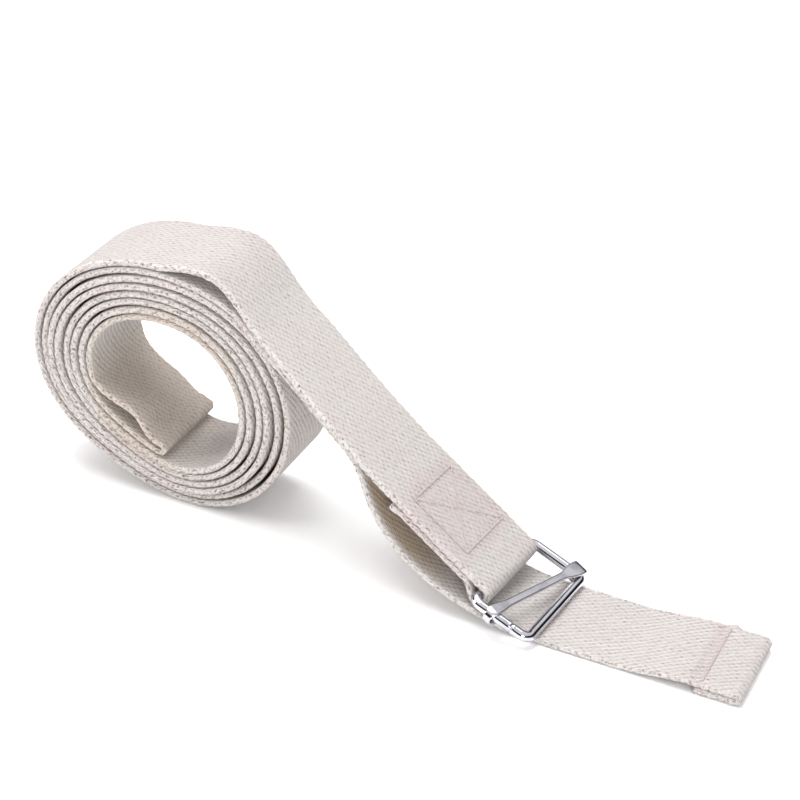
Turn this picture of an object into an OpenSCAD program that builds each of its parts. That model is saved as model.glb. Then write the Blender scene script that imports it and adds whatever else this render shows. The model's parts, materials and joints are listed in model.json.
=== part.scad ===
// Stretching strap: one long cotton webbing band, doubled and wound into a coil,
// with a wire buckle sewn into one end and a hem folded under the other.
// X runs along the strap from the coil to the hem, Y across the webbing, Z up from the table.

/* [Webbing] */
// Width of the webbing
strap_w = 38; // [34:1:39]
// Thickness of one layer of webbing
strap_t = 2.3; // [1.8:0.1:2.4]
// Gap left between two layers that lie on each other
layer_clearance = 0.1; // [0.05:0.05:0.2]

/* [Coil] */
// Height of the coil's centre above the table
coil_z = 43.32; // [43.3:0.02:44]
// Mean radius at which the winding starts
hole_r = 23.4; // [22:0.1:24]
// How far the hole is squashed into an oval
hole_oval = 2.85; // [0:0.05:3]
// How far the hole is pressed into three flats
hole_flats = 0.9; // [0:0.1:1]
// Mean room that one layer takes in the winding
winding_pitch = 2.88; // [2.88:0.01:3]
// Direction of the folded middle of the strap, seen from the front
fold_angle = 262; // [255:1:265]
// How far the inner strand stands off beside the fold
bulb_h = 4.6; // [0:0.1:5]
// Extra room between the strands at the very fold
fold_room = 1.1; // [0.8:0.1:1.5]

/* [Buckle] */
// Diameter of the buckle's round wire
wire_d = 3.6; // [3:0.1:3.8]
// Distance between the centres of the two side rails
rail_gap = 44; // [44:0.5:48]
// Distance between the centres of the loop bar and the free bar
bar_gap = 22; // [21:0.5:24]
// Bend radius of the frame's corners, at the wire's centre
corner_r = 3; // [2.5:0.1:3]
// Swing of the buckle off the strap's line, seen from above
buckle_yaw = 5; // [3:1:7]

/* [Slider] */
// Width of the slider's flat strip
slider_w = 3.6; // [4:0.1:5]
// Thickness of the slider's strip
slider_t = 1; // [0.8:0.1:1.1]
// Place of the slider's near end along its rail, from the loop bar
slider_near = 8; // [8:0.1:9]
// Place of the slider's far end along its rail, from the loop bar
slider_far = 19; // [17:0.1:19]

/* [Stitching] */
// Length of one stitch
stitch_l = 2.4; // [2:0.1:2.6]
// Distance from one stitch to the next
stitch_step = 3.2; // [2.8:0.1:4]
// Thickness of the sewing thread
thread_d = 0.5; // [0.3:0.1:0.6]

/* [Hidden] */
$fn = 48;

// Origin of the model: centre of the whole strap's footprint
coil_x = -84.43;
coil_y = 11.89;

// The winding: two strands side by side, turned clockwise from the fold
sweep_step = 6;
half_turn = 180;
full_turn = 360;
fold_start = -8;
upper_end = 1246;
lower_end = 1288;
bulb_span = 62;
inner_layer = 0.5;
outer_layer = 1.5;

// The two strands between the coil and the buckle, as X from the coil's centre and Z
upper_route = [
    [4, 90.6], [12, 90.8], [18.5, 88.6], [24, 84.4], [30.8, 77.8], [38, 72],
    [47, 66.6], [57, 60.3], [67, 54], [77, 47.7], [86, 41.9]
];
lower_route = [
    [28.4, 76.2], [31.7, 73.6], [36.3, 69.8], [45.5, 64.3], [55.5, 58], [65.5, 51.7],
    [73, 47], [77.6, 43], [80.6, 38.6], [82.8, 34], [86.8, 27.8], [92.4, 21.8],
    [100, 16], [108.5, 11.4], [118, 7.5], [127, 4.5], [135, 2.5], [141, 1.47], [147, 1.2]
];
route_cuts = 4;
loop_x = 95.5;
loop_z = 35.7;
loop_slope = 31.5;
loop_len = 41.5;
loop_y = -13;
tail_x = 154;
tail_y = -16;
drift_start = 18;
lower_drift_end = 120;

// The sewn loop round the loop bar
half_strap = strap_t / 2;
layer_step = strap_t + layer_clearance;
wrap_r = wire_d / 2 + layer_clearance + half_strap;
wrap_close = 35;
wrap_rise = wrap_r + wrap_r * cos(wrap_close) - layer_step;
wrap_run = wrap_r * sin(wrap_close) + wrap_rise / tan(wrap_close);
bar_x = loop_x + (loop_len * cos(loop_slope) - wrap_r * sin(loop_slope)) * cos(buckle_yaw);
bar_y = loop_y - (loop_len * cos(loop_slope) - wrap_r * sin(loop_slope)) * sin(buckle_yaw);
bar_z = loop_z - loop_len * sin(loop_slope) - wrap_r * cos(loop_slope);

// The tail, its gentle rise and the hem folded under its end
tail_flat = 22;
hem_start = 50;
hem_fold = 64;
hem_rise = layer_step;

// The buckle's tilt brings the free bar down on to the tail
rest_gap = 0.05;
bar_drop = bar_z - (strap_t + wire_d / 2 + rest_gap);
buckle_tilt = asin(bar_drop / bar_gap);
rail_half = rail_gap / 2;
wire_r = wire_d / 2;

// The slider's hooks round the rails
hook_r = wire_r + layer_clearance;
hook_offset = 0.75;
slider_skew = atan((slider_far - slider_near) / rail_gap);
slider_span = rail_gap / cos(slider_skew);
lip_len = 1.5;

// The box stitch with its crossed diagonals, and the hem's row
box_start = 4;
box_len = 25;
box_near = -12;
box_far = 15;
thread_h = thread_d * 0.7;
hem_row = 52;

// --- Curves -----------------------------------------------------------------

// Radius of the hole's wall and the room of one layer, round the coil
function hole_wall(a) = hole_r + hole_oval * cos(2 * (a + 30)) + hole_flats * cos(3 * (a - 56));
function layer_room(a) = winding_pitch + 0.26 * cos(2 * (a + 11)) + 0.14 * cos(a - 49);

// The inner strand stands off from the outer one at the fold and just after it
function bulb(turn) =
    turn > bulb_span ? 0
    : turn < 0 ? fold_room
    : fold_room * (1 - turn / bulb_span) + bulb_h * pow(sin(half_turn * turn / bulb_span), 1.5);

// A point on one strand of the winding, after a given turn from the fold
function winding(turn, layer) =
    let (
        a = fold_angle - turn,
        lift = layer < 1 ? bulb(turn) : 0,
        r = hole_wall(a) + layer_room(a) * (2 * turn / full_turn + layer) - lift
    )
    [coil_x + r * cos(a), coil_z + r * sin(a)];

// Slope of a strand over the last step of its winding
function heading(end, layer) =
    let (step = winding(end, layer) - winding(end - sweep_step, layer))
    atan2(step[1], step[0]);

function turns(from, to) = [for (i = [0 : ceil((to - from) / sweep_step)]) min(from + i * sweep_step, to)];

// Half circle that joins the two strands at the fold
function fold_arc(a, b) =
    let (mid = (a + b) / 2, half = (a - b) / 2, ahead = [half[1], -half[0]])
    [for (u = [22.5 : 22.5 : 157.5]) mid + half * cos(u) + ahead * sin(u)];

function reversed(list) = [for (i = [len(list) - 1 : -1 : 0]) list[i]];

// Unit vector square to a path at one of its points
function side(path, i) =
    let (
        a = path[max(i - 1, 0)],
        b = path[min(i + 1, len(path) - 1)],
        d = (b - a) / norm(b - a)
    )
    [-d[1], d[0]];

// Outline of a band of webbing that follows a path in the X-Z plane
function band(path) = concat(
    [for (i = [0 : len(path) - 1]) path[i] + side(path, i) * half_strap],
    [for (i = [len(path) - 1 : -1 : 0]) path[i] - side(path, i) * half_strap]
);

// Smooth curve through hand-placed points
function curve_point(a, b, c, d, t) =
    0.5 * (2 * b + (c - a) * t + (2 * a - 5 * b + 4 * c - d) * t * t + (3 * b - a - 3 * c + d) * t * t * t);
function smooth(route) =
    let (n = len(route) - 1)
    concat(
        [
            for (i = [0 : n - 1], k = [0 : route_cuts - 1])
                curve_point(
                    route[max(i - 1, 0)], route[i], route[i + 1], route[min(i + 2, n)], k / route_cuts
                )
        ],
        [route[n]]
    );

// Sideways drift of a strand on its way from the coil to the buckle
function ease(t) = t <= 0 ? 0 : t >= 1 ? 1 : t * t * (3 - 2 * t);
function drift(x, from, to, by) = by * ease((x - from) / (to - from));

// --- Solids -----------------------------------------------------------------

// Webbing whose side outline is given and whose width runs along Y
module webbing(outline) {
    rotate([90, 0, 0])
        linear_extrude(height = strap_w, center = true)
            polygon(outline);
}

// Webbing that drifts sideways and turns a little as it runs. Its first section stands
// square to the winding it continues
module ribbon(centres, yaws, start_slope) {
    last = len(centres) - 1;
    corners = [
        for (i = [0 : last])
            let (
                a = centres[max(i - 1, 0)],
                b = centres[min(i + 1, last)],
                run = norm([b[0] - a[0], b[1] - a[1]]),
                slope = i == 0 ? start_slope : i == last && yaws[last] > 0 ? -loop_slope : atan2(b[2] - a[2], run),
                across = [sin(yaws[i]), cos(yaws[i]), 0] * strap_w / 2,
                up = [-sin(slope) * cos(yaws[i]), sin(slope) * sin(yaws[i]), cos(slope)] * half_strap
            )
            each [
                centres[i] - across - up, centres[i] + across - up,
                centres[i] + across + up, centres[i] - across + up
            ]
    ];
    sides = [
        for (i = [0 : last - 1], k = [0 : 3])
            let (a = 4 * i + k, b = 4 * i + (k + 1) % 4)
            each [[a, b, b + 4], [a, b + 4, a + 4]]
    ];
    ends = [[0, 2, 1], [0, 3, 2], [4 * last, 4 * last + 1, 4 * last + 2], [4 * last, 4 * last + 2, 4 * last + 3]];
    polyhedron(points = corners, faces = concat(sides, ends));
}

// Places a shape at the sewn loop: X along the slope from its start, Z square to the webbing
module at_loop() {
    translate([coil_x + loop_x, coil_y + loop_y, loop_z])
        rotate([0, loop_slope, -buckle_yaw])
            children();
}

// Places a shape in the buckle's own plane, with the loop bar's centre as its origin
module at_buckle() {
    translate([coil_x + bar_x, coil_y + bar_y, bar_z])
        rotate([0, buckle_tilt, -buckle_yaw])
            children();
}

// A row of stitches along a line on a flat face
module stitch_row(from, to) {
    length = norm(to - from);
    count = floor((length - stitch_l) / stitch_step);
    spare = (length - stitch_l - count * stitch_step) / 2;
    turn = atan2(to[1] - from[1], to[0] - from[0]);
    translate([from[0], from[1], 0])
        rotate([0, 0, turn])
            for (i = [0 : count])
                translate([spare + i * stitch_step, -thread_d / 2, 0])
                    cube([stitch_l, thread_d, thread_h]);
}

// Square of stitching with both diagonals
module box_stitch() {
    near_left = [box_start, box_near];
    near_right = [box_start + box_len, box_near];
    far_left = [box_start, box_far];
    far_right = [box_start + box_len, box_far];
    stitch_row(near_left, near_right);
    stitch_row(near_right, far_right);
    stitch_row(far_right, far_left);
    stitch_row(far_left, near_left);
    stitch_row(near_left, far_right);
    stitch_row(far_left, near_right);
}

// --- Sub-parts --------------------------------------------------------------

// The doubled, wound length of the band, with its fold inside the hole
module webbing_coil() {
    inner = [for (t = turns(fold_start, lower_end)) winding(t, inner_layer)];
    outer = [for (t = turns(fold_start, upper_end)) winding(t, outer_layer)];
    path = concat(reversed(inner), fold_arc(inner[0], outer[0]), outer);
    color("antiquewhite")
        translate([0, coil_y, 0])
            webbing(band(path));
}

// The strand that leaves the top of the coil and runs down to the sewn loop
module webbing_upper_strand() {
    start = winding(upper_end, outer_layer);
    path = smooth(concat(
        [start],
        [for (p = upper_route) [coil_x + p[0], p[1]]],
        [[coil_x + loop_x, loop_z]]
    ));
    centres = [
        for (p = path)
            [p[0], coil_y + drift(p[0] - coil_x, drift_start, loop_x, loop_y), p[1]]
    ];
    yaws = [for (p = path) drift(p[0] - coil_x, drift_start, loop_x, buckle_yaw)];
    color("antiquewhite") ribbon(centres, yaws, heading(upper_end, outer_layer));
}

// The end of the band: straight down to the loop bar, round it and back underneath
module webbing_loop() {
    arc = [
        for (a = [90 : -12.5 : -(90 + wrap_close)])
            [loop_len + wrap_r * cos(a), wrap_r * (sin(a) - 1)]
    ];
    path = concat([[0, 0], [loop_len - 6, 0]], arc, [[loop_len - wrap_run, -layer_step], [0, -layer_step]]);
    color("antiquewhite") at_loop() webbing(band(path));
}

// The strand that runs under the upper one and sweeps down to the table
module webbing_lower_strand() {
    start = winding(lower_end, inner_layer);
    path = smooth(concat(
        [start],
        [for (p = lower_route) [coil_x + p[0], p[1]]],
        [[coil_x + tail_x, half_strap]]
    ));
    centres = [
        for (p = path)
            [p[0], coil_y + drift(p[0] - coil_x, drift_start, lower_drift_end, tail_y), p[1]]
    ];
    color("antiquewhite") ribbon(centres, [for (p = path) 0], heading(lower_end, inner_layer));
}

// The flat tail that lies on the table, with the hem folded under its end
module webbing_tail() {
    rise = [for (t = [0 : 0.125 : 1]) [tail_flat + t * (hem_start - 2 - tail_flat), half_strap + hem_rise * ease(t)]];
    fold = [for (a = [90 : -22.5 : -90]) [hem_fold + hem_rise / 2 * cos(a), half_strap + hem_rise / 2 * (1 + sin(a))]];
    path = concat([[0, half_strap]], rise, fold, [[hem_start, half_strap]]);
    color("antiquewhite")
        translate([coil_x + tail_x, coil_y + tail_y, 0])
            webbing(band(path));
}

// The buckle's closed rectangle of round wire
module buckle_frame() {
    straight_x = bar_gap - 2 * corner_r;
    straight_y = rail_gap - 2 * corner_r;
    color("silver") at_buckle() {
        for (x = [0, bar_gap])
            translate([x, 0, 0])
                rotate([90, 0, 0])
                    cylinder(h = straight_y, d = wire_d, center = true);
        for (y = [-rail_half, rail_half])
            translate([bar_gap / 2, y, 0])
                rotate([0, 90, 0])
                    cylinder(h = straight_x, d = wire_d, center = true);
        for (right = [0, 1], far = [0, 1])
            translate([
                right == 1 ? bar_gap - corner_r : corner_r,
                far == 1 ? rail_half - corner_r : corner_r - rail_half,
                0
            ])
                rotate([0, 0, right == 1 ? (far == 1 ? 0 : -90) : (far == 1 ? 90 : 180)])
                    rotate_extrude(angle = 90)
                        translate([corner_r, 0])
                            circle(d = wire_d);
    }
}

// Side outline of one hook: a C of flat strip, open towards the middle of the buckle
module hook_outline() {
    difference() {
        union() {
            circle(r = hook_r + slider_t);
            translate([0, -hook_r - slider_t]) square([lip_len, slider_t]);
            translate([0, hook_r]) square([lip_len, slider_t]);
        }
        circle(r = hook_r);
        translate([0, -hook_r]) square([hook_r + slider_t + 1, 2 * hook_r]);
    }
}

// The flat strip that lies across the rails, with a hook round each of them
module slider_bar() {
    color("lightsteelblue")
        at_buckle()
            translate([slider_far, rail_half, 0])
                rotate([0, 0, -90 - slider_skew])
                    rotate([90, 0, 0])
                        linear_extrude(height = slider_w, center = true) {
                            translate([-hook_offset, 0]) hook_outline();
                            translate([slider_span + hook_offset, 0]) mirror([1, 0]) hook_outline();
                            translate([0, hook_r]) square([slider_span, slider_t]);
                        }
}

// Needle thread on the loop's upper face
module loop_stitch_top() {
    color("linen") at_loop() translate([0, 0, half_strap]) box_stitch();
}

// Bobbin thread on the returned layer's underside
module loop_stitch_under() {
    color("linen")
        at_loop()
            translate([0, 0, -layer_step - half_strap - thread_h])
                box_stitch();
}

// Needle thread across the hem
module hem_stitch() {
    color("linen")
        translate([coil_x + tail_x + hem_row, coil_y + tail_y, strap_t + hem_rise])
            stitch_row([0, 1 - strap_w / 2], [0, strap_w / 2 - 1]);
}

webbing_coil();
webbing_upper_strand();
webbing_loop();
webbing_lower_strand();
webbing_tail();
buckle_frame();
slider_bar();
loop_stitch_top();
loop_stitch_under();
hem_stitch();
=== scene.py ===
import json
import math
import bpy
from mathutils import Matrix, Vector, noise


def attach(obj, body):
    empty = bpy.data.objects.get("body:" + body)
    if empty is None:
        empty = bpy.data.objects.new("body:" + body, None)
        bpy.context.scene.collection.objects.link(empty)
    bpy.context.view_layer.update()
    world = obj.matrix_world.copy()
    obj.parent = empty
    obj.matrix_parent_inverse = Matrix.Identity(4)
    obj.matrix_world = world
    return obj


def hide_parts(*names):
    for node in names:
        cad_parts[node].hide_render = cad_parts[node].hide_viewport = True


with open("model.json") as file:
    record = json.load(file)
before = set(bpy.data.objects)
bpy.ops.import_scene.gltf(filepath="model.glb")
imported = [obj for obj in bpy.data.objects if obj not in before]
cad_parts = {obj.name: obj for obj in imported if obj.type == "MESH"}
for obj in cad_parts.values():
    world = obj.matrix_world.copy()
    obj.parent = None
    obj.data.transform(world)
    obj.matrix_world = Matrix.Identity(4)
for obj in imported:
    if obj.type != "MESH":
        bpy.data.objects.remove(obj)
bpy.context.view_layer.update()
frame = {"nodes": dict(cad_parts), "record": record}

mm = 0.001
joints = {joint["name"]: joint for joint in frame["record"]["behaviour"]["joints"]}
print("frame loaded:", ", ".join(sorted(frame["nodes"])))


class Wire:
    # one socket of a node tree, so that shader maths can be written as sums and products
    def __init__(self, tree, socket=None):
        self.tree = tree
        self.socket = socket

    def node(self, kind, settings=None, inputs=None, out=0):
        made = self.tree.nodes.new(kind)
        for name, value in (settings or {}).items():
            if name == "stops":
                ramp = made.color_ramp
                while len(ramp.elements) < len(value):
                    ramp.elements.new(0.5)
                for element, (place, shade) in zip(ramp.elements, value):
                    element.position = place
                    element.color = shade
            else:
                setattr(made, name, value)
        for name, value in (inputs or {}).items():
            if isinstance(value, Wire):
                self.tree.links.new(value.socket, made.inputs[name])
            else:
                made.inputs[name].default_value = value
        return Wire(self.tree, made.outputs[out] if made.outputs else None)

    def math(self, operation, *values):
        return self.node("ShaderNodeMath", {"operation": operation}, dict(enumerate(values)))

    def __add__(self, other):
        return self.math("ADD", self, other)

    def __radd__(self, other):
        return self.math("ADD", other, self)

    def __sub__(self, other):
        return self.math("SUBTRACT", self, other)

    def __rsub__(self, other):
        return self.math("SUBTRACT", other, self)

    def __mul__(self, other):
        return self.math("MULTIPLY", self, other)

    def __rmul__(self, other):
        return self.math("MULTIPLY", other, self)

    def __truediv__(self, other):
        return self.math("DIVIDE", self, other)

    def __rtruediv__(self, other):
        return self.math("DIVIDE", other, self)

    def __pow__(self, other):
        return self.math("POWER", self, other)

    def __rpow__(self, other):
        return self.math("POWER", other, self)

    def __mod__(self, other):
        return self.math("MODULO", self, other)

    def __rmod__(self, other):
        return self.math("MODULO", other, self)

    def __abs__(self):
        return self.math("ABSOLUTE", self)

    def whole(self):
        return self.math("FLOOR", self)

    def fraction(self):
        return self.math("FRACT", self)

    def eased(self, low, high):
        # 0 below the low value, 1 above the high one
        return self.node("ShaderNodeMapRange", {"interpolation_type": "SMOOTHSTEP"},
                         {"Value": self, "From Min": low, "From Max": high})

    def mixed(self, first, second):
        # a colour between two others, with this wire as the share of the second
        return self.node("ShaderNodeMix", {"data_type": "RGBA"}, {0: self, 6: first, 7: second}, 2)

    def noisy(self, scale, detail, roughness=0.5):
        # this wire is the place that the noise is read at
        return self.node("ShaderNodeTexNoise", {}, {"Vector": self, "Scale": scale, "Detail": detail,
                                                    "Roughness": roughness})

    def bumped(self, distance, strength):
        return self.node("ShaderNodeBump", {}, {"Height": self, "Distance": distance, "Strength": strength})

    def parts(self):
        # the three numbers of a vector
        split = self.node("ShaderNodeSeparateXYZ", {}, {"Vector": self})
        return [Wire(self.tree, socket) for socket in split.socket.node.outputs]

    def feed(self, surface, socket):
        self.tree.links.new(self.socket, surface.socket.node.inputs[socket])


def newMaterial(name, constants):
    material = bpy.data.materials.new(name)
    material.use_nodes = True
    start = Wire(material.node_tree)
    start.tree.nodes.clear()
    surface = start.node("ShaderNodeBsdfPrincipled", {}, constants)
    start.node("ShaderNodeOutputMaterial", {}, {"Surface": surface})
    return material, start, surface


webbingLook = {
    "light": (0.645, 0.610, 0.592, 1),  # top of a knot
    "blush": (0.645, 0.59, 0.58, 1),  # faint warmer patches
    "sewn": (0.60, 0.52, 0.52, 1),  # pressed and pinker where it is sewn
    "dark": (0.215, 0.158, 0.118, 1),  # painted shade deep between knots
    "shadow": (0.54, 0.425, 0.31, 1),  # painted shade: browner on faces that lie under other layers, in the hole and in sewn dips
    "rowPitch": 1.16,  # mm across the webbing
    "knotPitch": 3.2,  # mm along the webbing
    "slant": 0.98,  # how far a knot leans over one row, in knots
    "rowShift": 0.46,  # every second row starts this many knots later
    "rowRound": 2.4,  # higher is flatter on top
    "knotRound": 2.2,
    "rowDip": 0.45,  # how deep the gaps between rows are, and between knots
    "knotDip": 0.8,
    "rowWander": 0.9,  # mm that yarns stray across, and along
    "knotWander": 1.5,
    "deep": 0.62,  # height at which a knot has its full colour
    "patches": (0.42, 0.68),
    "relief": 0.62 * mm,
    "faceWidth": 35.9,  # mm of flat face before the selvage turns
    "halfGirth": 40.2,
}


def webbingMaterial():
    look = webbingLook
    material, start, surface = newMaterial("cottonWebbing", {
        "Roughness": 0.92, "Specular IOR Level": 0.2, "Sheen Weight": 0.15, "Sheen Roughness": 0.5})
    place = start.node("ShaderNodeUVMap", {"uv_map": "strap"})
    along, across, _ = place.parts()
    along = along * (1 / mm)
    across = across * (1 / mm)
    stray = place.noisy(420.0, 2.0)
    sway = place.noisy(130.0, 1.0)
    speck = place.noisy(760.0, 1.0)
    row = (across + (sway - 0.5) * look["rowWander"]) / look["rowPitch"]
    rowIndex = row.whole()
    rowPart = row - rowIndex
    shift = rowIndex % 2 * look["rowShift"]
    knot = (along + (stray - 0.5) * look["knotWander"]) / look["knotPitch"] + shift + rowPart * look["slant"]
    crown = 1 - abs(rowPart * 2 - 1) ** look["rowRound"]
    swell = 1 - abs(knot.fraction() * 2 - 1) ** look["knotRound"]
    crown = crown * look["rowDip"] + (1 - look["rowDip"])
    weave = crown * (swell * look["knotDip"] + (1 - look["knotDip"]))
    # the selvage is a tight row of loops, less regular than the faces
    edgePart = (across / look["halfGirth"]).fraction() * look["halfGirth"]
    edge = edgePart.eased(look["faceWidth"] - 0.3, look["faceWidth"] + 0.4)
    loops = place.noisy(1050.0, 2.0) * 2.1 - 0.55
    height = weave * (1 - edge) + (loops * 0.7 + weave * 0.22) * edge
    fibre = place.noisy(2600.0, 3.0, 0.7)
    ground = place.noisy(45.0, 3.0).eased(*look["patches"]).mixed(look["light"], look["blush"])
    # the first attribute mixes in painted shade; the second gives the pinker, pressed look where it is sewn
    for attribute, shade in (("worn", look["shadow"]), ("pressed", look["sewn"])):
        share = start.node("ShaderNodeAttribute", {"attribute_name": attribute}, {}, "Fac")
        ground = share.mixed(ground, shade)
    # the low parts of the weave and selvage loops are painted darker, as painted shade in the hollows
    depth = (height + (fibre - 0.5) * 0.4 + (speck - 0.5) * 0.9).eased(0.0, look["deep"])
    depth.mixed(look["dark"], ground).feed(surface, "Base Color")
    relief = height + (fibre - 0.5) * 0.25 + (stray - 0.5) * 0.4
    relief.bumped(look["relief"], 1.0).feed(surface, "Normal")
    return material


# the dark colour is painted shade in the grooves of the twist
threadLook = {"light": (0.63, 0.555, 0.56, 1), "dark": (0.42, 0.35, 0.345, 1), "twist": 1300.0}


def threadMaterial():
    material, start, surface = newMaterial("sewingThread", {"Roughness": 0.7, "Sheen Weight": 0.2})
    place = start.node("ShaderNodeTexCoord", {}, {}, "Object")
    twist = start.node("ShaderNodeTexWave", {"wave_type": "BANDS", "bands_direction": "DIAGONAL"},
                       {"Vector": place, "Scale": threadLook["twist"], "Distortion": 1.5})
    twist.mixed(threadLook["dark"], threadLook["light"]).feed(surface, "Base Color")
    twist.bumped(0.08 * mm, 0.7).feed(surface, "Normal")
    return material


plating = {
    "platedWire": {"clean": (0.66, 0.65, 0.70, 1), "dull": (0.52, 0.51, 0.57, 1),
                   "polished": 0.06, "rubbed": 0.15},
    "platedStrip": {"clean": (0.60, 0.59, 0.63, 1), "dull": (0.46, 0.45, 0.5, 1),
                    "polished": 0.12, "rubbed": 0.24},
}


def metalMaterial(name):
    look = plating[name]
    material, start, surface = newMaterial(name, {"Metallic": 1.0, "Specular IOR Level": 0.5})
    place = start.node("ShaderNodeTexCoord", {}, {}, "Object")
    cloud = place.noisy(160.0, 4.0)
    pits = place.noisy(1400.0, 2.0)
    cloud.eased(0.45, 0.75).mixed(look["clean"], look["dull"]).feed(surface, "Base Color")
    roughness = cloud.eased(0.35, 0.8) * (look["rubbed"] - look["polished"]) + look["polished"]
    roughness.feed(surface, "Roughness")
    (pits + cloud).bumped(0.03 * mm, 0.25).feed(surface, "Normal")
    return material


cotton = webbingMaterial()
thread = threadMaterial()
wirePlate = metalMaterial("platedWire")
stripPlate = metalMaterial("platedStrip")
print("materials ready")

# the band's route as the CAD model lays it, in mm and degrees until the mesh is made
band = {
    "width": 38.0,
    "thickness": 2.3,
    "clearance": 0.1,
    "selvage": 1.05,  # how far the rounded edge stands out
    "coil": (-84.43, 43.32),  # the coil's centre, in x and z
    "coilReach": 48.5,
    "middle": 11.89,  # y of the coil's middle
    "holeR": 23.4,
    "oval": 2.85,
    "flats": 0.9,
    "pitch": 2.88,  # room for one layer, its ovalness and its shift to one side
    "pitchOval": 0.26,
    "pitchShift": 0.14,
    "foldAngle": 262.0,
    "foldStart": -8.0,
    "foldRoom": 1.1,
    "bulbH": 4.3,  # the fold's bulge off the wall of the hole
    "bulbSpan": 72.0,
    "bulbPower": 1.25,
    "gapeShare": 0.6,  # how much closer to the wall the bulge lies at its far edge
    "pairing": 0.025,  # two layers that were wound together lie this much closer
    "standOff": 0.2,  # the outermost turn stands off a little on its way down the right side
    "standOffTurns": (860.0, 910.0, 1015.0, 1075.0),
    "slip": 0.45,  # turns sit a little in or out of line, and the last one is pushed back
    "pushBack": 1.6,
    "pushTurns": (820.0, 1080.0),
    "turnStep": 2.5,
    "upperEnd": 1246.0,
    "lowerEnd": 1288.0,
    "upper": [(4, 90.1), (12, 90.5), (18.5, 88.6), (24, 84.4), (30.8, 77.8), (38, 72),
              (47, 66.6), (57, 60.3), (67, 54), (77, 47.7), (86, 41.9)],
    "lower": [(28.4, 76.2), (31.7, 73.6), (36.3, 69.8), (45.5, 64.3), (55.5, 58), (65.5, 51.7),
              (73, 47), (77.6, 43), (80.6, 38.6), (82.8, 34), (86.8, 27.8), (92.4, 21.8),
              (100, 16), (108.5, 11.4), (118, 7.5), (127, 4.5), (135, 2.5), (141, 1.47), (147, 1.2)],
    "driftStart": 18.0,  # where the strands start to move sideways
    "lowerDriftEnd": 120.0,
    "settle": (10.0, 70.0),  # where a strand loses the coil's sideways slip
    "yaw": 5.0,
    "loop": (95.5, -13.0, 35.7),
    "loopSlope": 31.5,
    "loopLen": 41.5,
    "wireD": 3.6,
    "wrapClose": 35.0,
    "tail": (154.0, -16.0),
    "tailFlat": 22.0,
    "hemStart": 50.0,
    "hemFold": 64.0,
    "ringStep": 1.15,
    "coilStep": 1.45,
}
half = band["thickness"] / 2
layerStep = band["thickness"] + band["clearance"]
wrapR = band["wireD"] / 2 + band["clearance"] + half
coilX, coilZ = band["coil"]
loopX, loopY, loopZ = band["loop"]
tailX, tailY = band["tail"]


def cosd(angle):
    return math.cos(math.radians(angle))


def sind(angle):
    return math.sin(math.radians(angle))


def ramp(value, low, high):
    # eases from 0 at the low value to 1 at the high one
    t = min(max((value - low) / (high - low), 0.0), 1.0)
    return t * t * (3 - 2 * t)


def between(value, rise, full, fall, gone):
    return ramp(value, rise, full) * (1 - ramp(value, fall, gone))


def hump(value, centre, width):
    return math.exp(-((value - centre) / width) ** 2)


def steps(first, last, count, skip=0):
    # even steps from one number to another, both counted in
    return [first + (last - first) * k / count for k in range(skip, count + 1)]


def curveThrough(a, b, c, d, t):
    # between b and c, on a smooth curve that also passes a and d
    return 0.5 * (2 * b + (c - a) * t + (2 * a - 5 * b + 4 * c - d) * t ** 2
                  + (3 * b - a - 3 * c + d) * t ** 3)


def around(points, i):
    last = len(points) - 1
    return [points[min(max(i + k, 0), last)] for k in (-1, 0, 1, 2)]


def smoothRoute(points, cuts):
    out = []
    for i in range(len(points) - 1):
        out += [curveThrough(*around(points, i), k / cuts) for k in range(cuts)]
    return out + [points[-1]]


def holeWall(a):
    return band["holeR"] + band["oval"] * cosd(2 * (a + 30)) + band["flats"] * cosd(3 * (a - 56))


def layerRoom(a):
    return band["pitch"] + band["pitchOval"] * cosd(2 * (a + 11)) + band["pitchShift"] * cosd(a - 49)


def bulb(turn):
    if turn > band["bulbSpan"]:
        return 0.0
    if turn < 0:
        return band["foldRoom"]
    share = turn / band["bulbSpan"]
    return band["foldRoom"] * (1 - share) + band["bulbH"] * sind(180 * share) ** band["bulbPower"]


def winding(turn, layer):
    # a point of the coil, after this many degrees: layer 0.5 is the inner of the pair, 1.5 the outer
    a = band["foldAngle"] - turn
    place = layer - band["pairing"] + band["standOff"] * between(turn, *band["standOffTurns"])
    lift = 0.0
    if layer < 1:
        place = layer + band["pairing"]
        lift = bulb(turn)
    r = holeWall(a) + layerRoom(a) * (2 * turn / 360 + place) - lift
    slip = band["slip"] * math.sin(turn * 0.0131 + layer) + band["pushBack"] * ramp(turn, *band["pushTurns"])
    return Vector((coilX + r * cosd(a), band["middle"] + slip, coilZ + r * sind(a)))


def atLoop(s, n):
    # a point of the sewn end: s down the slope, n square to it
    run = s * cosd(band["loopSlope"]) + n * sind(band["loopSlope"])
    return Vector((coilX + loopX + run * cosd(band["yaw"]), band["middle"] + loopY - run * sind(band["yaw"]),
                   loopZ - s * sind(band["loopSlope"]) + n * cosd(band["loopSlope"])))


def strand(start, route, end, driftEnd, drift, yaw):
    points = [start] + [Vector((coilX + x, 0, z)) for x, z in route] + [end]
    curve = smoothRoute([Vector((p.x, p.z, 0)) for p in points], 10)
    out = []
    for p in curve:
        share = ramp(p.x - coilX, band["driftStart"], driftEnd)
        back = (start.y - band["middle"]) * (1 - ramp(p.x - coilX, *band["settle"]))
        out.append((Vector((p.x, band["middle"] + drift * share + back, p.y)), yaw * share))
    return out


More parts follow.
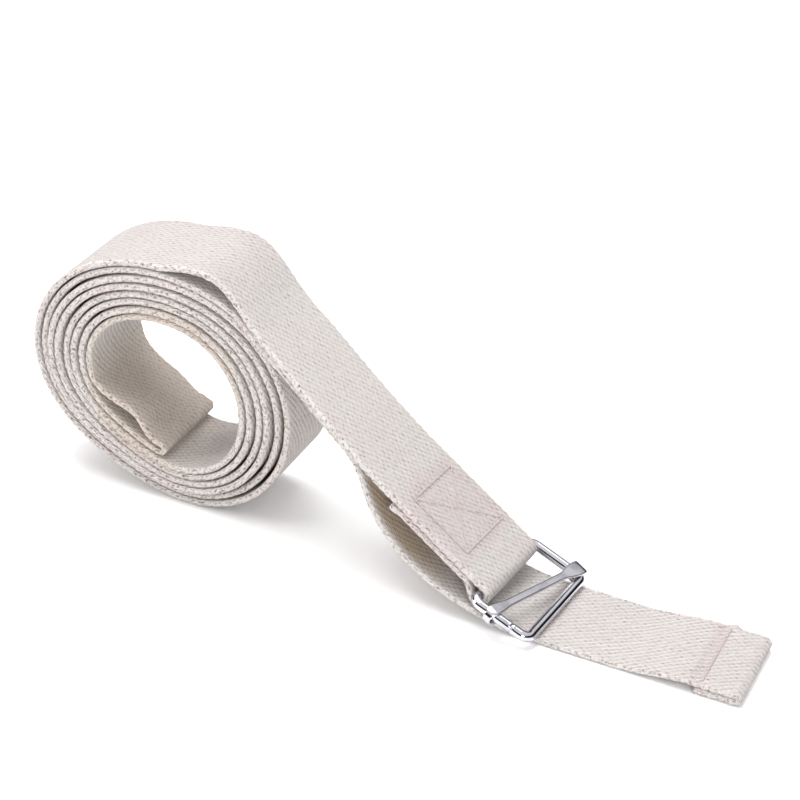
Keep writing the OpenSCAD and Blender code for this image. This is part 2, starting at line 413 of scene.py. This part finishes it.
def tailRoute():
    # flat on the table, up on to the hem's turned edge, round it and back underneath
    hemStart, hemFold = band["hemStart"], band["hemFold"]
    points = [(x, 0) for x in steps(0, band["tailFlat"], 19, 1)]
    for share in steps(0, 1, 24, 1):
        x = band["tailFlat"] + share * (hemStart - 2 - band["tailFlat"])
        points.append((x, layerStep * ramp(share, 0, 1)))
    points += [(x, layerStep) for x in steps(hemStart, hemFold, 9)[:-1]]
    points += [(hemFold + layerStep / 2 * cosd(a), layerStep / 2 * (1 + sind(a))) for a in steps(90, -90, 8)]
    points += [(x, 0) for x in steps(hemFold, hemStart, 12, 1)]
    return [(Vector((coilX + tailX + x, band["middle"] + tailY, half + z)), 0.0) for x, z in points]


def bandRoute():
    # from the returned end under the sewn loop, through the coil, to the raw edge under the hem
    yaw, wrapClose, loopLen = band["yaw"], band["wrapClose"], band["loopLen"]
    rise = wrapR + wrapR * cosd(wrapClose) - layerStep
    meet = loopLen - wrapR * sind(wrapClose) - rise / math.tan(math.radians(wrapClose))
    stations = [(atLoop(s, -layerStep), yaw) for s in steps(0, meet, 30)]
    for a in steps(-90 - wrapClose, 90, 18):
        stations.append((atLoop(loopLen + wrapR * cosd(a), wrapR * (sind(a) - 1)), yaw))
    stations += [(atLoop(s, 0), yaw) for s in steps(loopLen - 3, 0, 30)[:-1]]
    upper = strand(winding(band["upperEnd"], 1.5), band["upper"], atLoop(0, 0), loopX, loopY, yaw)
    stations += upper[::-1][:-1]
    turn = band["upperEnd"]
    while turn > band["foldStart"]:
        stations.append((winding(turn, 1.5), 0.0))
        turn -= band["turnStep"]
    outer, inner = winding(band["foldStart"], 1.5), winding(band["foldStart"], 0.5)
    middle, reach = (outer + inner) / 2, (outer - inner) / 2
    ahead = Vector((-reach.z, 0, reach.x))
    stations += [(middle + reach * cosd(a) + ahead * sind(a), 0.0) for a in steps(0, 180, 8)]
    turn = band["foldStart"] + band["turnStep"]
    while turn < band["lowerEnd"]:
        stations.append((winding(turn, 0.5), 0.0))
        turn += band["turnStep"]
    tailStart = Vector((coilX + tailX, 0, half))
    stations += strand(winding(band["lowerEnd"], 0.5), band["lower"], tailStart,
                       band["lowerDriftEnd"], tailY, 0.0)
    return stations + tailRoute()


def evenStations(stations):
    # walks the route in even steps, longer inside the coil where less can be seen
    kept = [stations[0]]
    for place, yaw in stations[1:]:
        if (place - kept[-1][0]).length > 0.02:
            kept.append((place, yaw))
    lengths = [0.0]
    for (a, _), (b, _) in zip(kept, kept[1:]):
        lengths.append(lengths[-1] + (b - a).length)
    out, at, i = [], 0.0, 0
    while at < lengths[-1]:
        while lengths[i + 1] < at:
            i += 1
        share = (at - lengths[i]) / (lengths[i + 1] - lengths[i])
        place = curveThrough(*[near[0] for near in around(kept, i)], share)
        yaw = kept[i][1] * (1 - share) + kept[i + 1][1] * share
        out.append((place, yaw, at))
        inCoil = (place.xz - Vector((coilX, coilZ))).length < band["coilReach"]
        at += band["coilStep"] if inCoil else band["ringStep"]
    out.append((kept[-1][0], kept[-1][1], lengths[-1]))
    return out


def crossSection():
    # closed ring round the webbing: place across and height, and the distance round it
    flat = band["width"] / 2 - band["selvage"]
    top = [(x, half) for x in steps(-flat, flat, 18)]
    edge = [(flat + band["selvage"] * sind(a), half * cosd(a)) for a in (25, 50, 75, 105, 130, 155)]
    ring = top + edge + [(-x, -h) for x, h in top] + [(-x, -h) for x, h in edge]
    girth = [0.0]
    for (x0, h0), (x1, h1) in zip(ring, ring[1:] + ring[:1]):
        girth.append(girth[-1] + math.hypot(x1 - x0, h1 - h0))
    return ring, girth


# where the band is stitched, in mm from the loop's top end and from the tail's start
box = {"start": 4.0, "length": 25.0, "near": -12.0, "far": 15.0, "hemRow": 52.0, "hemEdge": 17.5,
       "sink": 0.36, "spread": 0.9, "rowHalf": 0.75}


def sewnRow(at, loopEnd):
    # places across the band where stitches cross it, at this length along it
    rows, spans = [], []
    near, far = box["near"], box["far"]
    for s in (at, loopEnd - at):
        part = (s - box["start"]) / box["length"]
        if -0.06 < part < 1.06:
            rows += [near, far, near + (far - near) * part, far + (near - far) * part]
            if min(abs(s - box["start"]), abs(s - box["start"] - box["length"])) < box["rowHalf"]:
                spans.append((near, far))
    return rows, spans


def seamDip(rows, spans, x):
    if any(near - 0.5 < x < far + 0.5 for near, far in spans):
        return box["sink"]
    return box["sink"] * hump(min([abs(x - row) for row in rows] + [9.0]), 0, box["spread"])


# how the woven band strays from its plain shape, in mm, and where painted shade darkens it
strayAndShade = {
    "fray": 0.17, "frayNoise": 0.24, "swell": 0.16,
    "returnedEar": 1.1, "hemEar": 2.1, "hemDip": 0.7,
    # the rest place painted shade: under the strands, on the hole's wall and in sewn dips
    "upperTo": 240.0, "upperFace": (24.0, 34.0), "upperShare": 0.5,
    "lowerFrom": 900.0, "lowerFace": (30.0, 42.0, 96.0, 122.0),
    "wall": (25.0, 34.0), "wallShare": 0.4, "seamShare": 0.3,
}


def towardWall(place):
    # the fold inside the hole gapes at the near edge and lies closer at the far one
    out = Vector((place.x - coilX, 0, place.z - coilZ))
    a = math.degrees(math.atan2(out.z, out.x))
    turn = (band["foldAngle"] - a) % 360
    if turn >= band["bulbSpan"]:
        return Vector((0, 0, 0))
    gape = max(0.0, holeWall(a) + layerRoom(a) * (turn / 180 + 0.5) - out.length)
    return out.normalized() * gape * band["gapeShare"]


def strayAcross(x, at, hemAt):
    # selvage loops make the edge uneven, and the sewing pulls out an ear at two corners
    out = x
    if abs(x) > band["width"] / 2 - 1.3:
        fray = strayAndShade["fray"] * math.sin(at * 2 * math.pi / webbingLook["knotPitch"])
        fray += strayAndShade["frayNoise"] * noise.noise(Vector((at * 0.9, x, 3.1)))
        out += fray if x > 0 else -fray
    if at < 5 and x < -13:
        out -= strayAndShade["returnedEar"] * hump(at, 1.6, 1.5) * ramp(-x, 13, 19)
    if hemAt > -6:
        out += strayAndShade["hemEar"] * hump(hemAt, 0, 2.0) * ramp(x, 12, 19)
    return out


def faceShade(place, at):
    # how much painted shade the band's inner face takes here: the lower strand's upper face, under the upper
    # strand, and the upper one's underside
    x = place.x - coilX
    if at > strayAndShade["lowerFrom"]:
        return between(x, *strayAndShade["lowerFace"])
    return strayAndShade["upperShare"] * ramp(x, *strayAndShade["upperFace"]) if at < strayAndShade["upperTo"] else 0.0


def sewnTint(at, loopEnd, hemAt):
    part = min(at, loopEnd - at if at > loopEnd / 2 else at)
    loop = between(part, -3, 2, 30, 34) if at < loopEnd + 3 else 0.0
    return max(loop, hump(hemAt, -2, 2.4))


def skin(rings, sides, closed):
    # faces from ring to ring, whose points run anticlockwise seen from ahead
    faces = []
    for i in range(rings if closed else rings - 1):
        j = (i + 1) % rings
        for k in range(sides):
            n = (k + 1) % sides
            faces.append((i * sides + k, i * sides + n, j * sides + n, j * sides + k))
    if not closed:
        faces.append(tuple(range(sides - 1, -1, -1)))
        faces.append(tuple((rings - 1) * sides + k for k in range(sides)))
    return faces


def addObject(name, data):
    made = bpy.data.objects.new(name, data)
    bpy.context.collection.objects.link(made)
    return made


def addPiece(name, verts, faces, material, matrix=None):
    mesh = bpy.data.meshes.new(name)
    mesh.from_pydata(verts, [], faces)
    if matrix is not None:
        mesh.transform(matrix)
    mesh.polygons.foreach_set("use_smooth", [True] * len(mesh.polygons))
    mesh.materials.append(material)
    return addObject(name, mesh)


def strapMap(stations, ring, girth):
    # metres along and round the band, stretched so that a whole number of rows fits
    rows = round(girth[-1] / webbingLook["rowPitch"] / 2) * 2
    stretch = rows * webbingLook["rowPitch"] / girth[-1]
    spots = []
    for (_, _, low), (_, _, high) in zip(stations, stations[1:]):
        for near, far in zip(girth, girth[1:]):
            first, second = near * stretch, far * stretch
            spots += [(low, first), (low, second), (high, second), (high, first)]
    for at, order in ((stations[0][2], range(len(ring) - 1, -1, -1)), (stations[-1][2], range(len(ring)))):
        spots += [(at + ring[k][1], girth[k]) for k in order]
    return spots


def makeWebbing():
    stations = evenStations(bandRoute())
    ring, girth = crossSection()
    verts, worn, pressed = [], [], []
    loopEnd = min(stations[:200], key=lambda station: (station[0] - atLoop(0, 0)).length)[2]
    last = len(stations) - 1
    nearEnd = len(stations) - 60
    for i, (place, yaw, at) in enumerate(stations):
        rows, spans = sewnRow(at, loopEnd)
        hemAt = place.x - coilX - tailX - box["hemRow"] if i > nearEnd else -9.0
        hemTop = hemAt > -6 and place.z >= half + 0.4
        hemDip = strayAndShade["hemDip"] * (0.8 * hump(hemAt, 0, 0.7) - hump(hemAt, -1.9, 1.3)) if hemTop else 0.0
        ahead = stations[min(i + 1, last)][0] - stations[max(i - 1, 0)][0]
        across = Vector((sind(yaw), cosd(yaw), 0))
        up = across.cross(ahead).normalized()
        closing = towardWall(place)
        fromCoil = (place.xz - Vector((coilX, coilZ))).length
        # painted shade on the wall of the hole, fading out away from the middle
        onWall = strayAndShade["wallShare"] * (1 - ramp(fromCoil, *strayAndShade["wall"]))
        onFace = faceShade(place, at)
        pink = sewnTint(at, loopEnd, hemAt)
        for x, h in ring:
            dip = seamDip(rows, spans, x) if h > 0 else hemDip
            swell = 1 + strayAndShade["swell"] / 2 * noise.noise(Vector((at * 0.35, x * 0.3, h)))
            close = closing * ramp(x, -band["width"] / 2, band["width"] / 2)
            rise = h * swell - math.copysign(dip, h)  # the hem sinks at its row and on the strip beside it
            verts.append((place + close + across * strayAcross(x, at, hemAt) + up * rise) * mm)
            # painted shade: inner faces under other layers, the hole's wall, and the sewn dips by their depth
            inner = onFace if h < 0 and abs(x) < band["width"] / 2 - 1.2 else 0.0
            worn.append(min(1.0, max(inner, onWall, strayAndShade["seamShare"] * dip / box["sink"])))
            pressed.append(pink * (0.6 + 0.4 * noise.noise(Vector((at * 0.2, x * 0.2, 7.7)))))
    webbing = addPiece("webbing", verts, skin(len(stations), len(ring), False), cotton)
    layer = webbing.data.uv_layers.new(name="strap")
    for loop, (u, v) in zip(layer.data, strapMap(stations, ring, girth)):
        loop.uv = (u * mm, v * mm)
    for name, values in (("worn", worn), ("pressed", pressed)):
        webbing.data.attributes.new(name, "FLOAT", "POINT").data.foreach_set("value", values)
    return webbing, stations[-1][2]


webbing, bandLength = makeWebbing()
print("webbing made, flat length", round(bandLength), "mm,", len(webbing.data.polygons), "faces")

# the buckle is drawn flat, from the loop bar outwards, and then laid on the swing joint's axis
swing = joints["buckle_swing"]
skew = joints["slider_skew"]
barAxis = -Vector(swing["axis"]).normalized()
planeUp = Vector(skew["axis"]).normalized()
railAxis = barAxis.cross(planeUp).normalized()
buckleTurn = Matrix((railAxis, barAxis, planeUp)).transposed().to_4x4()
atBuckle = Matrix.Translation(Vector(swing["pos_m"])) @ buckleTurn

wireFrame = {
    "wireR": 1.8,
    "railGap": 44.0,
    "barGap": 22.0,
    "cornerR": 3.0,
    "sides": 28,
    "joint": 0.70,  # where the wire's ends meet, as a share of the near rail
    "groove": 0.4,
    "grooveWidth": 0.3,
    "burr": 0.05,
}


def makeFrame():
    size = wireFrame
    r = size["cornerR"]
    endX, endY = size["barGap"] - r, size["railGap"] / 2 - r
    path = []

    def straight(a, b, count):
        for k in range(count):
            path.append(Vector(a).lerp(Vector(b), k / count))

    def corner(x, y, start):
        for a in steps(start, start + 90, 12)[:-1]:
            path.append(Vector((x + r * cosd(a), y + r * sind(a), 0)))

    straight((r, -endY - r, 0), (endX, -endY - r, 0), 96)
    corner(endX, -endY, -90)
    straight((endX + r, -endY, 0), (endX + r, endY, 0), 48)
    corner(endX, endY, 0)
    straight((endX, endY + r, 0), (r, endY + r, 0), 24)
    corner(r, endY, 90)
    straight((0, endY, 0), (0, -endY, 0), 48)
    corner(r, -endY, 180)
    verts = []
    sides, count = size["sides"], len(path)
    jointX = size["barGap"] * size["joint"]
    for i, place in enumerate(path):
        ahead = (path[(i + 1) % count] - path[i - 1]).normalized()
        out = Vector((0, 0, 1)).cross(ahead)
        near = abs(place.x - jointX) if place.y < -endY - r + 0.01 else 99
        radius = size["wireR"] - size["groove"] * hump(near, 0, size["grooveWidth"])
        radius += size["burr"] * hump(near, 0.7, 0.4)
        for k in range(sides):
            a = 360 * k / sides
            verts.append((place + (out * cosd(a) + Vector((0, 0, sind(a)))) * radius) * mm)
    return addPiece("buckle_wire", verts, skin(count, sides, True), wirePlate, atBuckle)


slider = {
    "thick": 1.15,
    "midWidth": 2.9,
    "nearEye": 4.4,  # width of the strip where it turns down round each rail
    "farEye": 6.0,
    "eyeRound": 0.32,
    "hookR": 1.9,  # inside the hooks
    "offset": 0.75,
    "lip": 1.8,
    "near": 8.0,  # distance from the loop bar along each rail
    "far": 19.0,
    "round": 0.5,
}


def makeSlider():
    size = slider
    rail = wireFrame["railGap"]
    span = math.hypot(rail, size["far"] - size["near"])
    r = size["hookR"] + size["thick"] / 2
    offset, lip = size["offset"], size["lip"]
    path = [Vector((x, 0, -r)) for x in steps(lip - offset, -offset, 6)[:-1]]
    path += [Vector((-offset - r * sind(a), 0, -r * cosd(a))) for a in steps(0, 180, 20)]
    path += [Vector((x, 0, r)) for x in steps(-offset, span + offset, 48, 1)[:-1]]
    path += [Vector((span + offset + r * sind(a), 0, r * cosd(a))) for a in steps(0, 180, 20)]
    path += [Vector((x, 0, -r)) for x in steps(span + offset, span + offset - lip, 6, 1)]
    verts = []
    corner = size["round"]
    for i, place in enumerate(path):
        ahead = (path[min(i + 1, len(path) - 1)] - path[max(i - 1, 0)]).normalized()
        up = ahead.cross(Vector((0, 1, 0)))
        width = size["midWidth"]
        width += (size["farEye"] - size["midWidth"]) * (1 - ramp(place.x, 1, 10))
        width += (size["nearEye"] - size["midWidth"]) * (1 - ramp(span - place.x, 1, 8))
        # the eyes are rounded where they turn down
        past = max(-place.x - offset, place.x - span - offset, 0.0) / r
        width *= 1 - size["eyeRound"] * min(past, 1.0) ** 2
        w, t = width / 2 - corner, size["thick"] / 2 - corner
        for cx, cy, start in ((w, t, 0), (-w, t, 90), (-w, -t, 180), (w, -t, 270)):
            for a in steps(start, start + 90, 3):
                side = Vector((0, cx + corner * cosd(a), 0))
                verts.append((place + side + up * (cy + corner * sind(a))) * mm)
    toNear = Vector((size["near"] - size["far"], -rail, 0)).normalized()
    sideways = Vector((0, 0, 1)).cross(toNear)
    turn = Matrix((toNear, sideways, Vector((0, 0, 1)))).transposed().to_4x4()
    farEye = Matrix.Translation(Vector((size["far"], rail / 2, 0)) * mm)
    return addPiece("slider_strip", verts, skin(len(path), 16, False), stripPlate, atBuckle @ farEye @ turn)


buckleWire = makeFrame()
sliderStrip = makeSlider()
print("buckle made")

stitching = {"length": 2.3, "step": 3.1, "diameter": 0.6, "arch": 0.34, "sides": 8, "cuts": 9, "buried": 0.4}


def stitchTree():
    # one tree lays stitches along any row
    tree = bpy.data.node_groups.new("stitchRow", "GeometryNodeTree")
    face = tree.interface
    face.new_socket("Path", in_out="INPUT", socket_type="NodeSocketGeometry")
    for name in ("Stitch Length", "Stitch Step", "Thread Diameter", "Arch"):
        face.new_socket(name, in_out="INPUT", socket_type="NodeSocketFloat")
    face.new_socket("Thread", in_out="INPUT", socket_type="NodeSocketMaterial")
    face.new_socket("Stitches", in_out="OUTPUT", socket_type="NodeSocketGeometry")
    start = Wire(tree)
    inside = start.node("NodeGroupInput")
    given = {socket.name: Wire(tree, socket) for socket in inside.socket.node.outputs if socket.name}
    points = start.node("GeometryNodeResampleCurve", {"mode": "LENGTH"},
                        {"Curve": given["Path"], "Length": given["Stitch Step"]})
    tangent = start.node("GeometryNodeInputTangent")
    turn = start.node("FunctionNodeAlignRotationToVector", {"axis": "X", "pivot_axis": "Z"},
                      {"Vector": tangent})
    sunk = given["Thread Diameter"] * -stitching["buried"]
    left = start.node("ShaderNodeCombineXYZ", {}, {"X": given["Stitch Length"] * -0.5, "Z": sunk})
    peak = start.node("ShaderNodeCombineXYZ", {}, {"Z": given["Arch"]})
    right = start.node("ShaderNodeCombineXYZ", {}, {"X": given["Stitch Length"] * 0.5, "Z": sunk})
    arc = start.node("GeometryNodeCurveQuadraticBezier", {}, {
        "Resolution": stitching["cuts"], "Start": left, "Middle": peak, "End": right})
    circle = start.node("GeometryNodeCurvePrimitiveCircle", {}, {
        "Resolution": stitching["sides"], "Radius": given["Thread Diameter"] * 0.5})
    body = start.node("GeometryNodeCurveToMesh", {}, {
        "Curve": arc, "Profile Curve": circle, "Fill Caps": True})
    smooth = start.node("GeometryNodeSetShadeSmooth", {}, {0: body})
    placed = start.node("GeometryNodeInstanceOnPoints", {}, {
        "Points": points, "Instance": smooth, "Rotation": turn})
    real = start.node("GeometryNodeRealizeInstances", {}, {"Geometry": placed})
    painted = start.node("GeometryNodeSetMaterial", {}, {"Geometry": real, "Material": given["Thread"]})
    start.node("NodeGroupOutput", {}, {"Stitches": painted})
    return tree


stitchGroup = stitchTree()


def makeStitches(name, lines, matrix):
    curve = bpy.data.curves.new(name + "Path", "CURVE")
    curve.dimensions = "3D"
    step = stitching["step"]
    for a, b in lines:
        a, b = Vector((*a, 0)), Vector((*b, 0))
        count = max(1, round((b - a).length / step))
        inset = (b - a).normalized() * ((b - a).length - (count - 1) * step) / 2
        spline = curve.splines.new("POLY")
        spline.points.add(1)
        for point, place in zip(spline.points, (a + inset, b - inset)):
            point.co = (*(place * mm), 1)
    holder = addObject(name + "Path", curve)
    modifier = holder.modifiers.new("stitches", "NODES")
    modifier.node_group = stitchGroup
    values = {"Stitch Length": stitching["length"] * mm, "Stitch Step": step * mm,
              "Thread Diameter": stitching["diameter"] * mm, "Arch": stitching["arch"] * mm, "Thread": thread}
    for socket in stitchGroup.interface.items_tree:
        if socket.in_out == "INPUT" and socket.name in values:
            modifier[socket.identifier] = values[socket.name]
    depsgraph = bpy.context.evaluated_depsgraph_get()
    mesh = bpy.data.meshes.new_from_object(holder.evaluated_get(depsgraph), depsgraph=depsgraph)
    bpy.data.objects.remove(holder)
    mesh.materials.pop(index=0)  # the bare curve's empty slot
    mesh.name = name
    mesh.transform(matrix)
    return addObject(name, mesh)


left, right = box["start"], box["start"] + box["length"]
corners = [(left, box["near"]), (right, box["near"]), (right, box["far"]), (left, box["far"])]
boxLines = [(corners[k], corners[(k + 1) % 4]) for k in range(4)]
boxLines += [(corners[0], corners[2]), (corners[3], corners[1])]
mirrored = [((a, -b), (c, -d)) for (a, b), (c, d) in boxLines]
down = (atLoop(1, 0) - atLoop(0, 0)).normalized()
square = (atLoop(0, 1) - atLoop(0, 0)).normalized()
topTurn = Matrix((down, square.cross(down), square)).transposed().to_4x4()
underTurn = Matrix((down, -square.cross(down), -square)).transposed().to_4x4()
topPlace = Matrix.Translation(atLoop(0, half) * mm) @ topTurn
underPlace = Matrix.Translation(atLoop(0, -layerStep - half) * mm) @ underTurn
hemPlace = Matrix.Translation(Vector((coilX + tailX + box["hemRow"], band["middle"] + tailY,
                                      half * 2 + layerStep)) * mm)
topStitches = makeStitches("box_stitch_top", boxLines, topPlace)
underStitches = makeStitches("box_stitch_under", mirrored, underPlace)
hemStitches = makeStitches("hem_stitches", [((0, -box["hemEdge"]), (0, box["hemEdge"]))], hemPlace)
print("stitching made")

view = {
    "target": (-4.0, 12.1, 54.6),  # mm
    "toward": (0.298, -0.818, 0.492),  # from the target to the camera
    "distance": 850.0,
    "roll": 6.0,
    "lens": 112.8,
}


def makeCamera():
    toCamera = Vector(view["toward"]).normalized()
    right = Vector((0, 0, 1)).cross(toCamera).normalized()
    up = toCamera.cross(right)
    c, s = cosd(view["roll"]), sind(view["roll"])
    axes = Matrix((right * c + up * s, up * c - right * s, toCamera)).transposed().to_4x4()
    data = bpy.data.cameras.new("studioCamera")
    data.lens = view["lens"]
    data.sensor_width = 36
    data.clip_start = 0.05
    data.clip_end = 20
    camera = addObject("studioCamera", data)
    place = (Vector(view["target"]) + toCamera * view["distance"]) * mm
    camera.matrix_world = Matrix.Translation(place) @ axes
    bpy.context.scene.camera = camera


# metres and watts
lamps = {
    "overheadSoftbox": {"place": (-0.25, 0.15, 1.3), "aim": (0, 0, 0.03), "size": (1.3, 1.0), "power": 20.0,
                        "colour": (1, 1, 1)},
    "frontSoftbox": {"place": (0.75, -1.3, 0.55), "aim": (0, 0, 0.04), "size": (0.5, 0.35), "power": 11.0,
                     "colour": (1, 1, 1)},
    "leftSoftbox": {"place": (-1.2, -0.7, 0.5), "aim": (0, 0, 0.04), "size": (0.5, 0.4), "power": 6.0,
                    "colour": (1.0, 0.98, 0.96)},
}
studio = {
    # by height: a dark band low down gives the wire its streaks
    "surround": [(0.0, (0.55, 0.56, 0.6, 1)), (0.03, (0.02, 0.02, 0.025, 1)), (0.5, (0.02, 0.02, 0.025, 1)),
                 (0.6, (1, 1, 1, 1)), (1.0, (1, 1, 1, 1))],
    "surroundPower": 0.95,
    "floor": (0.97, 0.97, 0.97, 1),
    "floorReach": 9.0,
    "floorDrop": 0.2 * mm,
}


def makeLamp(name):
    lamp = lamps[name]
    data = bpy.data.lights.new(name, "AREA")
    data.shape = "RECTANGLE"
    data.size, data.size_y = lamp["size"]
    data.energy = lamp["power"]
    data.color = lamp["colour"]
    made = addObject(name, data)
    made.location = lamp["place"]
    made.rotation_euler = (Vector(lamp["place"]) - Vector(lamp["aim"])).to_track_quat("Z", "Y").to_euler()


def makeSurround():
    world = bpy.data.worlds.new("studio")
    world.use_nodes = True
    sky = Wire(world.node_tree)
    sky.tree.nodes.clear()
    height = sky.node("ShaderNodeTexCoord").parts()[2]
    shade = sky.node("ShaderNodeValToRGB", {"stops": studio["surround"]}, {"Fac": height})
    backdrop = sky.node("ShaderNodeBackground", {}, {"Color": shade, "Strength": studio["surroundPower"]})
    sky.node("ShaderNodeOutputWorld", {}, {"Surface": backdrop})
    bpy.context.scene.world = world
    bpy.context.scene.view_settings.view_transform = "Standard"


def makeFloor():
    material, start, surface = newMaterial("paleFloor", {"Base Color": studio["floor"], "Roughness": 0.9})
    place = start.node("ShaderNodeTexCoord", {}, {}, "Object")
    place.noisy(900.0, 2.0).bumped(0.02 * mm, 0.1).feed(surface, "Normal")
    reach = studio["floorReach"]
    edges = [(-reach, -reach, 0), (reach, -reach, 0), (reach, reach, 0), (-reach, reach, 0)]
    floor = addPiece("floor", edges, [(0, 1, 2, 3)], material)
    floor.location.z = -studio["floorDrop"]


makeCamera()
for name in lamps:
    makeLamp(name)
makeSurround()
makeFloor()
print("camera, light and floor ready")

# what rides on what, and which CAD nodes each piece stands for
for piece in (webbing, topStitches, underStitches, hemStitches):
    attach(piece, "strap")
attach(buckleWire, "buckle")
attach(sliderStrip, "slider")
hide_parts("webbing_coil", "webbing_upper_strand", "webbing_loop", "webbing_lower_strand",
            "webbing_tail")
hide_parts("loop_stitch_top")
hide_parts("loop_stitch_under")
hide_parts("hem_stitch")
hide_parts("buckle_frame")
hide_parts("slider_bar")
bandLength * mm
